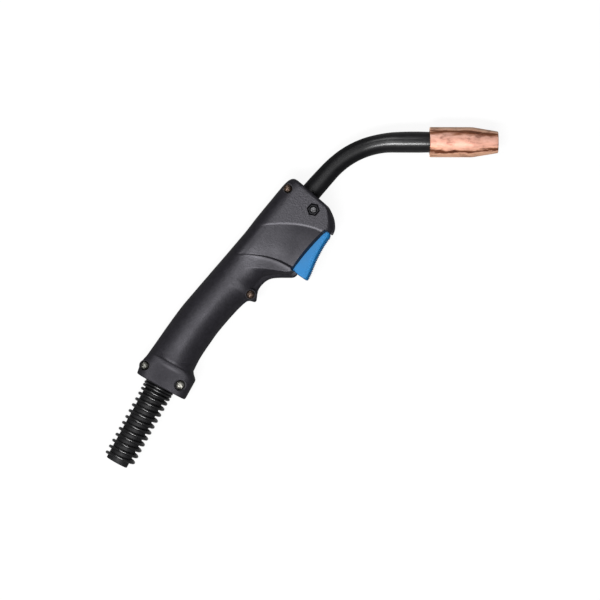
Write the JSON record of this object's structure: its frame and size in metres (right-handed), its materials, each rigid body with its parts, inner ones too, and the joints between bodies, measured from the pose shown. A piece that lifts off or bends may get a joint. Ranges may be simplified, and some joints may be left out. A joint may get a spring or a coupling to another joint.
{
  "type": "mig welding torch",
  "caption": "Hand-held MIG welding torch: two-shell pistol grip with a finger trigger, a bent gooseneck with a copper gas nozzle, and a coiled strain relief at the cable end.",
  "frame": {"origin": "on the surface that the torch lies on, under the middle of its bounding box", "axes": "+X along the nozzle, out of its mouth; +Z square to the flat flank of the handle, up from the surface; +Y away from the trigger side, completing a right-handed frame"},
  "size_m": [0.3014, 0.2628, 0.036],
  "materials": {
    "handle_plastic": "finely grained moulded nylon, dark charcoal",
    "trigger_plastic": "satin moulded plastic, blue",
    "neck_black": "glossy black coating on a bent tube",
    "nozzle_copper": "polished copper with drawn marks and heat-brown streaks",
    "copper": "turned copper",
    "brass": "turned brass",
    "phenolic": "dark brown moulded insulator",
    "steel": "zinc-plated steel",
    "seal_rubber": "matte",
    "switch_plastic": "moulded switch case",
    "plunger_plastic": "moulded button",
    "lead_insulation": "wire insulation",
    "splice_plastic": "crimped sleeve",
    "sleeve_rubber": "smooth black rubber",
    "spring_black": "glossy black coating on spring wire"
  },
  "bodies": {
    "torch": {"neck_jacket": "neck_black", "neck_insulation": "phenolic", "neck_conductor": "copper", "wire_liner": "steel", "nozzle_insulator": "phenolic", "gas_diffuser": "brass", "contact_tip": "copper", "nozzle_ring": "steel", "power_block": "brass", "liner_set_screw": "steel", "liner_seals": "seal_rubber", "union_nut": "brass", "cable_fitting": "brass", "cable_clamp": "copper", "handle_near": "handle_plastic", "handle_far": "handle_plastic", "handle_screws": "steel", "clamp_bolt": "steel", "clamp_nut": "steel", "trigger_pin": "steel", "trigger_spring": "steel", "switch_body": "switch_plastic", "switch_terminals": "brass", "switch_leads": "lead_insulation", "lead_splices": "splice_plastic", "cable_sleeve": "sleeve_rubber", "anti_kink_spring": "spring_black"},
    "trigger": {"trigger": "trigger_plastic"},
    "plunger": {"switch_plunger": "plunger_plastic"},
    "nozzle": {"nozzle": "nozzle_copper"}
  },
  "joints": [
    {"name": "trigger_pivot", "type": "hinge", "parent": "torch", "child": "trigger", "pos_m": [0.01273, 0.05021, 0.018], "axis": [0, 0, -1], "range_deg": [0, 6], "stiffness_Nm_per_rad": 2, "springref_deg": -1.72, "deforming": ["trigger_spring"]},
    {"name": "plunger_slide", "type": "slide", "parent": "torch", "child": "plunger", "axis": [-0.7604, 0.6494, 0], "range_m": [0, 0.00175]},
    {"name": "nozzle_slide", "type": "slide", "parent": "torch", "child": "nozzle", "axis": [1, 0, 0], "range_m": [0, 0.06]}
  ],
  "couplings": [
    {"joint": "plunger_slide", "follows": "trigger_pivot", "m_per_rad": 0.0165}
  ]
}
